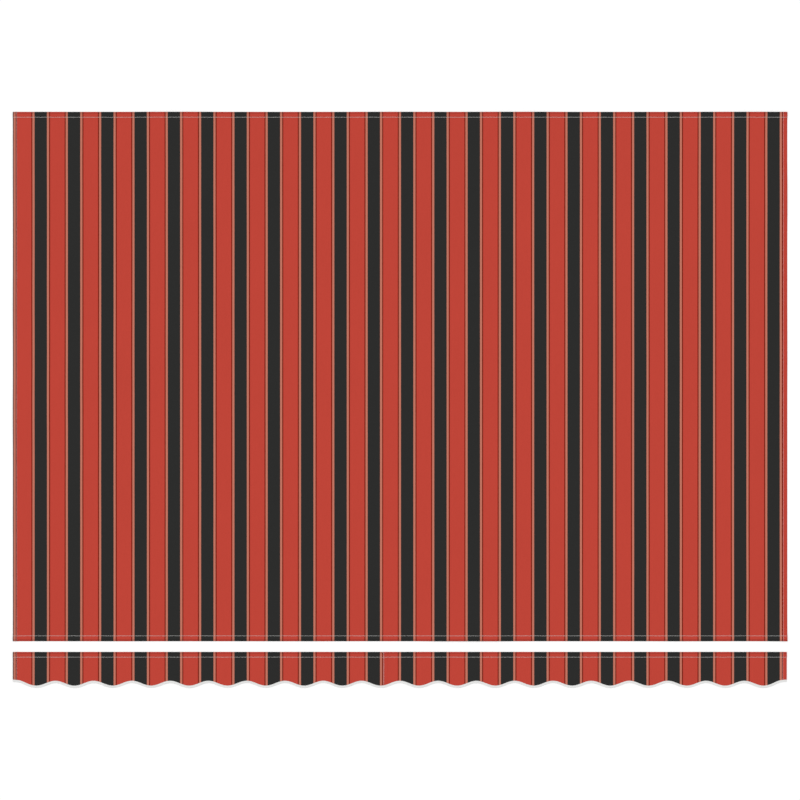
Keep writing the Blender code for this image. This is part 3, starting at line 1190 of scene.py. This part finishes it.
@dataclass(frozen=True)
class CoverCloth(FoldedCloth):
    """The large striped cloth, with a tunnel hem front and rear and a narrow hem each side."""

    front: Hemline

    @classmethod
    def from_frame(cls) -> "CoverCloth":
        """Reads the edges and the rows of stitches from the frame.

        Returns:
            The cover.
        """
        low, high = (corner.tolist() for corner in box_of("cover_cloth"))
        return cls(
            left=Hemline(low[0], Side.LOW, middle_of("cover_left_side_thread", Axis.ACROSS)),
            right=Hemline(high[0], Side.HIGH, middle_of("cover_right_side_thread", Axis.ACROSS)),
            rear=Hemline(high[1], Side.HIGH, middle_of("cover_rear_hem_thread", Axis.ALONG)),
            front=Hemline(low[1], Side.LOW, middle_of("cover_front_hem_thread", Axis.ALONG)),
            swells=Swells(height=0.0030, shortest=0.45, longest=1.50, seed=11),
        )

    @property
    def ends(self) -> tuple[Hemline, ...]:
        """The end hems, the rear one last."""
        return self.front, self.rear

    def height(self, x: np.ndarray, y: np.ndarray) -> np.ndarray:
        """Height of the top layer over the floor: one pitch for each layer under it."""
        hemmed = self.hemmed(y)
        return LAYERS.pitch * hemmed + self.below(x) * (1 + hemmed)

    def bottom(self, x: np.ndarray, y: np.ndarray) -> np.ndarray:
        """Height of the lowest layer's underside."""
        return self.swells.at(x, y)

    def turn_ends(
        self, flat_y: np.ndarray, depth: np.ndarray, stack: np.ndarray
    ) -> tuple[np.ndarray, np.ndarray, np.ndarray]:
        """Turns the end hems under, each on its own half of the cloth.

        Args:
            flat_y: Cut positions along.
            depth: Depths before the turn.
            stack: The stack's height at each point.

        Returns:
            The places along, the depths, and the share of the upper run, as turn_end gives them.
        """
        rear = super().turn_ends(flat_y, depth, stack)
        front = turn_end(flat_y, self.front.fold, Side.LOW, depth, stack)
        is_rear = flat_y > (self.rear.edge + self.front.edge) / 2
        y, depth, upper_run = (np.where(is_rear, a, b) for a, b in zip(rear, front))
        return y, depth, upper_run

    def build(self, material: bpy.types.Material) -> tuple[bpy.types.Object, Cut]:
        """Folds and lays the cloth.

        Args:
            material: Its finish.

        Returns:
            The cloth, and what it is cut to.
        """
        across = spread(self.left.stops() + self.right.stops(), STEPS.cover_across)
        body = spread(self.front.stops() + self.rear.stops(), STEPS.cover_along)
        hems = [spread(line.stops(), STEPS.hem) for line in self.ends]
        along = np.unique(np.round(np.concatenate([body, *hems]), DIGITS))
        flat_x, flat_y = np.meshgrid(across, along)
        left = turn_side(flat_x, self.left.fold, Side.LOW)
        right = turn_side(flat_x, self.right.fold, Side.HIGH)
        x, depth = (np.where(flat_x < 0, a, b) for a, b in zip(left, right))
        points = self.lay(x, depth, 1 - depth / LAYERS.pitch, flat_y)
        piece = add_sheet("cover_sheet", points, np.stack([flat_x, flat_y], axis=-1))
        dress(piece, material, Slot.CLOTH, "cover_cloth")
        return piece, Cut.of(flat_x, flat_y)

    def rows(self) -> list[StitchRow]:
        """Places the rows of stitches.

        Returns:
            The rear and front hems' rows, then the left and right sides'.
        """
        ends = [self.row(f"cover_{end}_hem", Axis.ACROSS, HEM_THREAD) for end in ("rear", "front")]
        sides = [self.row(f"cover_{side}_side", Axis.ALONG, SIDE_THREAD) for side in ("left", "right")]
        return ends + sides


@dataclass(frozen=True)
class Valance(FoldedCloth):
    """The narrow cloth: two lengths lapped at a join, a tunnel hem, and a taped wavy edge."""

    lowest: float
    join_edge: float
    join_stitches: float
    underlap: float

    @classmethod
    def from_frame(cls) -> "Valance":
        """Reads the edges, the join and the rows of stitches from the frame.

        Returns:
            The valance.
        """
        low, high = (corner.tolist() for corner in box_of("valance_binding"))
        left_high = box_of("valance_left_cloth")[1].tolist()
        right_low = box_of("valance_right_cloth")[0].tolist()
        return cls(
            left=Hemline(low[0], Side.LOW, middle_of("valance_left_side_thread", Axis.ACROSS)),
            right=Hemline(high[0], Side.HIGH, middle_of("valance_right_side_thread", Axis.ACROSS)),
            rear=Hemline(left_high[1], Side.HIGH, middle_of("valance_top_hem_thread", Axis.ALONG)),
            swells=Swells(height=0.0016, shortest=0.30, longest=0.90, seed=5),
            lowest=low[1],
            join_edge=right_low[0] + LAYERS.thickness / 2,
            join_stitches=middle_of("valance_join_thread", Axis.ACROSS),
            underlap=left_high[0],
        )

    @property
    def lap(self) -> float:
        """How far the join's two lower layers raise its top one."""
        return 2 * LAYERS.pitch

    @property
    def lap_start(self) -> float:
        """Where the left length has come down far enough to pass under the join."""
        return self.join_edge - LAYERS.pitch

    @property
    def lap_end(self) -> float:
        """Where the right length starts to come down past the left one's raw edge."""
        return self.underlap + LAYERS.gap

    def lapped(self, x: np.ndarray) -> np.ndarray:
        """1 where the two lengths lie lapped, falling to 0 on both sides."""
        rise = ramp(x, self.lap_start - HEMS.ramp, self.lap_start)
        return rise - ramp(x, self.lap_end, self.lap_end + HEMS.ramp)

    def below(self, x: np.ndarray) -> np.ndarray:
        """How far the side hems and the join raise the top layer."""
        return super().below(x) + self.lap * self.lapped(x)

    def height(self, x: np.ndarray, y: np.ndarray) -> np.ndarray:
        """Height of the top layer over the floor, where the hem's lower run or the tape lies."""
        return LAYERS.pitch + self.below(x) * (1 + self.hemmed(y))

    def bottom(self, x: np.ndarray, y: np.ndarray) -> np.ndarray:
        """Height of the lowest layer's underside: on the floor under the hem, and else one up."""
        return LAYERS.pitch * (1 - self.hemmed(y)) + self.swells.at(x, y)

    def bulge(self, x: np.ndarray, y: np.ndarray) -> np.ndarray:
        """How far the empty tunnels stand open.

        Args:
            x: Places across.
            y: Places along.

        Returns:
            Heights, which at the sides also fade to 0 where the tape grips the cloth.
        """
        sides = self.left.bulge(x, HEMS.side_bulge) + self.right.bulge(x, HEMS.side_bulge)
        edge = self.wave_y(x, 0.0)
        fade = ramp(y, edge, edge + HEMS.ramp)
        return self.rear.bulge(y, HEMS.end_bulge) + sides * (1 - self.hemmed(y)) * fade

    def lower_edge(self, x: np.ndarray) -> np.ndarray:
        """Where the cloth's visible lower edge runs: a cosine wave whose two ends are lifted.

        Args:
            x: Places across.

        Returns:
            Places along.
        """
        width = self.right.edge - self.left.edge - 2 * WAVE.end_flat
        run = np.clip(self.left.inward(x) - WAVE.end_flat, 0.0, width)
        from_end = np.minimum(self.left.inward(x), self.right.inward(x))
        lifted = 1 - np.clip(from_end / WAVE.end_ramp, 0.0, 1.0)
        wave = WAVE.rise / 2 * (1 + np.cos(math.tau * run * WAVE.count / width))
        return self.lowest + WAVE.tape_leg + wave + WAVE.end_lift * lifted

    def wave_y(self, x: np.ndarray, outside: float, step: float = 0.0005) -> np.ndarray:
        """The line that runs outside the visible lower edge by a distance.

        Args:
            x: Places across.
            outside: The distance.
            step: How far to each side the edge's slope is taken.

        Returns:
            Places along: the edge less the distance times the length of its slope.
        """
        slope = (self.lower_edge(x + step) - self.lower_edge(x - step)) / (2 * step)
        return self.lower_edge(x) - outside * np.hypot(1.0, slope)

    def pattern(self, across: np.ndarray, x: np.ndarray) -> tuple[np.ndarray, np.ndarray]:
        """A grid of cut positions whose lowest rows follow the wave, up to the raw edge in the tape.

        Args:
            across: Cut positions across.
            x: Where each of them lies once its side fold is made.

        Returns:
            Two arrays of cut positions, across and along, rows by columns.
        """
        start = self.rear.edge - self.rear.width - HEMS.ramp
        hem = spread([stop for stop in self.rear.stops() if stop >= start - SLACK], STEPS.hem)
        in_tape = WAVE.tape_leg - LAYERS.thickness - LAYERS.pitch - self.lap / 2 - LAYERS.gap
        edge = self.wave_y(x, in_tape)
        shares = np.linspace(0.0, 1.0, STEPS.valance_rows + 1)[:-1]
        body = edge + (start - edge) * shares[:, None]
        along = np.concatenate([body, np.broadcast_to(hem[:, None], (len(hem), len(across)))])
        return np.broadcast_to(across, along.shape), along

    def build_left(self, material: bpy.types.Material) -> tuple[bpy.types.Object, Cut]:
        """Builds the left length, whose right margin passes under the other one at the join.

        Args:
            material: Its finish.

        Returns:
            The length of cloth, and what it is cut to.
        """
        ramps = ramp_stops(self.lap_start - HEMS.ramp, self.lap_start)
        across = spread([*self.left.stops(), *ramps, self.join_edge, self.underlap], STEPS.valance_across)
        x, depth = turn_side(across, self.left.fold, Side.LOW)
        upper = 1 - depth / LAYERS.pitch
        return self.finish_length("left", across, x, depth + self.lap * self.lapped(x), upper, material)

    def build_right(self, material: bpy.types.Material) -> tuple[bpy.types.Object, Cut]:
        """Builds the right length, whose left margin is turned under over the other one.

        Args:
            material: Its finish.

        Returns:
            The length of cloth, and what it is cut to.
        """
        join = turned_stops(self.join_edge, Side.LOW, HEMS.join_turn_under)
        ramps = ramp_stops(self.lap_end, self.lap_end + HEMS.ramp)
        stops = [*join, *self.right.stops(), self.join_stitches, *ramps]
        across = spread(stops, STEPS.valance_across)
        at_join = turn_side(across, self.join_edge, Side.LOW)
        at_side = turn_side(across, self.right.fold, Side.HIGH)
        is_join = across < (self.join_edge + self.right.edge) / 2
        x, depth = (np.where(is_join, a, b) for a, b in zip(at_join, at_side))
        upper = 1 - at_side[1] / LAYERS.pitch
        return self.finish_length("right", across, x, depth, upper, material)

    def finish_length(
        self,
        side: str,
        across: np.ndarray,
        x: np.ndarray,
        depth: np.ndarray,
        upper: np.ndarray,
        material: bpy.types.Material,
    ) -> tuple[bpy.types.Object, Cut]:
        """Lays one length from its cut positions and side folds.

        Args:
            side: Which length it is, left or right.
            across: Cut positions across.
            x: Their places.
            depth: Their depths below the top layer.
            upper: 1 on a side hem's upper layer, falling to 0 on its lower one.
            material: Its finish.

        Returns:
            The length of cloth, and what it is cut to.
        """
        flat_x, flat_y = self.pattern(across, x)
        points = self.lay(*(np.broadcast_to(row, flat_y.shape) for row in (x, depth, upper)), flat_y)
        piece = add_sheet(f"valance_{side}_sheet", points, np.stack([flat_x, flat_y], axis=-1))
        dress(piece, material, Slot.CLOTH, f"valance_{side}_cloth")
        return piece, Cut.of(flat_x, flat_y)

    def tape_section(self, x: np.ndarray) -> tuple[np.ndarray, np.ndarray, np.ndarray]:
        """Sections across the folded tape.

        The upper leg lies on the cloth, a half circle goes round the cloth's edge, and the lower
        leg lies on the floor. The upper leg swells a little between its stitches and the fold.

        Args:
            x: Places of the sections.

        Returns:
            The distances outside the cloth's visible edge, the heights, and the lengths along the
            section from the upper leg's edge, each rows by sections.
        """
        base = LAYERS.thickness / 2
        radius = LAYERS.pitch + self.below(x) / 2
        centre = WAVE.tape_leg - base - radius
        angle = np.linspace(0.0, math.pi, STEPS.fold + 1)[:, None]
        leg = np.linspace(0.0, 1.0, STEPS.tape_leg + 1)[:-1, None]
        outside = np.concatenate([leg * centre, centre + radius * np.sin(angle), leg[::-1] * centre])
        upper = base + 2 * radius + WAVE.tape_swell * np.sin(math.pi * leg) ** 2
        lower = np.broadcast_to(base, (len(leg), len(x)))
        height = np.concatenate([upper, base + radius * (1 + np.cos(angle)), lower])
        step = np.hypot(np.diff(outside, axis=0), np.diff(height, axis=0))
        return outside, height, np.concatenate([np.zeros((1, len(x))), np.cumsum(step, axis=0)])

    def build_tape(self) -> tuple[bpy.types.Object, tuple[float, float]]:
        """Builds the binding tape.

        Returns:
            The tape, and its length and width.
        """
        x = np.linspace(self.left.edge, self.right.edge, STEPS.tape_columns + 1)
        outside, height, girth = self.tape_section(x)
        y = np.stack([self.wave_y(x, row) for row in outside])
        across = np.broadcast_to(x, y.shape)
        z = height + self.swells.at(across, y)
        steps = np.hypot(np.diff(x), np.diff(self.wave_y(x, WAVE.tape_leg)))
        run = np.concatenate([[0.0], np.cumsum(steps)])
        cuts = np.stack([np.broadcast_to(run, y.shape), girth], axis=-1)
        points = np.stack([across, y, z], axis=-1)
        tape = add_sheet("binding_tape", points[::-1], cuts[::-1])
        size = (float(run[-1]), float(girth[-1].mean()))
        dress(tape, PaleTape().make(size[1]), Slot.TAPE, "valance_binding")
        return tape, size

    def tape_top(self, x: np.ndarray, y: np.ndarray) -> np.ndarray:
        """Height of the tape's upper surface at its stitches."""
        layers = LAYERS.thickness + 2 * LAYERS.pitch + self.below(x)
        return layers + self.swells.at(x, y) + WAVE.tape_stitch_lift

    def rows(self) -> list[StitchRow]:
        """Places the rows of stitches.

        Returns:
            The rows of the top hem, the left side, the right side, the join and the tape.
        """
        low, high = box_of("valance_binding_thread")
        x = np.linspace(low[0], high[0], STEPS.tape_stitches)
        line = np.stack([x, self.wave_y(x, WAVE.tape_stitch_inset)], axis=-1)
        return [
            self.row("valance_top_hem", Axis.ACROSS, HEM_THREAD),
            self.row("valance_left_side", Axis.ALONG, SIDE_THREAD),
            self.row("valance_right_side", Axis.ALONG, SIDE_THREAD),
            self.row("valance_join", Axis.ALONG, HEM_THREAD),
            StitchRow("valance_binding", line, self.tape_top, self.swells.at, HEM_THREAD),
        ]


@dataclass(frozen=True)
class Studio:
    """The floor, the light and the camera.

    The sky and the lamp together light an upward face at a level of 1, so that a colour renders
    about as it is written.
    """

    sky: float = 0.70
    lamp_height: float = math.radians(52)
    lamp_heading: float = math.radians(130)
    lamp_softness: float = math.radians(20)
    floor_size: float = 120.0
    floor_colour: Colour = (0.96, 0.96, 0.96, 1.0)
    floor_glow: float = 0.06
    view_width: float = 4.5368
    aim: tuple[float, float] = (-0.00045, -0.0008)
    lens: float = 85.0
    sensor: float = 36.0
    far: float = 200.0

    def light(self) -> None:
        """Adds the sky, white where it is seen as a background, and a soft lamp."""
        world = bpy.data.worlds.new("studio")
        bpy.context.scene.world = world
        world.use_nodes = True
        graph = Graph(world.node_tree)
        strength = graph.background_rays() * (1.0 - self.sky) + self.sky
        graph.feed(graph.tree.nodes["Background"], {"Color": WHITE, "Strength": strength})
        lamp = bpy.data.lights.new("soft_lamp", "SUN")
        lamp.energy = (1.0 - self.sky) * math.pi / math.sin(self.lamp_height)
        lamp.angle = self.lamp_softness
        holder = bpy.data.objects.new("soft_lamp", lamp)
        holder.rotation_euler = (0.0, math.pi / 2 - self.lamp_height, self.lamp_heading)
        bpy.context.scene.collection.objects.link(holder)

    def floor(self) -> bpy.types.Object:
        """Adds the white floor, which keeps the object's shadow.

        Returns:
            The floor.
        """
        half = self.floor_size / 2
        corners = np.array([[-half, -half, 0], [half, -half, 0], [half, half, 0], [-half, half, 0]])
        floor = add_mesh("floor", corners, np.array([[0, 1, 2, 3]]), corners[:, :2])
        finish = Finish("white_floor")
        material = finish.surface({
            "Base Color": self.floor_colour,
            "Roughness": 1.0,
            "Specular IOR Level": 0.0,
            "Emission Color": WHITE,
            "Emission Strength": finish.background_rays() * self.floor_glow,
        })
        floor.data.materials.append(material)
        return floor

    def camera(self) -> None:
        """Adds the camera, straight over the middle of the object, with its top towards +Y."""
        lens = bpy.data.cameras.new("camera")
        lens.lens = self.lens
        lens.sensor_width = self.sensor
        lens.clip_end = self.far
        low, high = (np.array(corner) for corner in CAD_BOX)
        offset = np.array([*self.aim, self.view_width * self.lens / self.sensor])
        holder = bpy.data.objects.new("camera", lens)
        holder.location = (low + high) / 2 + offset
        bpy.context.scene.collection.objects.link(holder)
        bpy.context.scene.camera = holder
        bpy.context.scene.view_settings.view_transform = "Standard"


def report(pieces: Sequence[bpy.types.Object]) -> None:
    """Logs each finished piece's name and number of faces."""
    for piece in pieces:
        LOG.info("%s: %d faces", piece.name, len(piece.data.polygons))


def build_cover(cloth: StripedCloth, thread: bpy.types.Material) -> None:
    """Builds the cover and its rows of stitches.

    Args:
        cloth: The cloth's finish.
        thread: The thread's finish.
    """
    cover = CoverCloth.from_frame()
    sides = (cover.left, cover.right)
    seams = Lines([line.stitches for line in cover.ends], [line.stitches for line in sides])
    folds = Lines([line.edge for line in cover.ends], [line.edge for line in sides])
    sheet, cut = cover.build(cloth.make("cover_stripes", seams, folds))
    rows = [row.build(thread) for row in cover.rows()]
    cut.width
    report([sheet, *rows])


def build_valance(cloth: StripedCloth, thread: bpy.types.Material) -> None:
    """Builds the valance's two lengths, its tape and its rows of stitches.

    Args:
        cloth: The cloth's finish.
        thread: The thread's finish.
    """
    valance = Valance.from_frame()
    sides = (valance.left, valance.right)
    seams = Lines([valance.rear.stitches], [*(line.stitches for line in sides), valance.join_stitches])
    folds = Lines([valance.rear.edge], [*(line.edge for line in sides), valance.join_edge])
    material = cloth.make("valance_stripes", seams, folds)
    left, left_cut = valance.build_left(material)
    right, right_cut = valance.build_right(material)
    tape, tape_size = valance.build_tape()
    rows = [row.build(thread) for row in valance.rows()]
    top_hem, left_side, right_side, join, binding = rows
    on_right = [top_hem, right_side, join]
    for sheet, cut, pieces in ((left, left_cut, [left_side]), (right, right_cut, on_right)):
        size = (cut.width, cut.length)
        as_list(pieces)
    report([left, right, tape, *rows])


def main() -> None:
    """Builds the studio, the cover and the valance."""
    logging.basicConfig(level=logging.INFO, format="%(name)s: %(message)s")
    studio = Studio()
    studio.camera()
    studio.light()
    floor = studio.floor()
    cloth = StripedCloth()
    thread = WhiteThread().make()
    build_cover(cloth, thread)
    build_valance(cloth, thread)


if __name__ == "__main__":
    main()
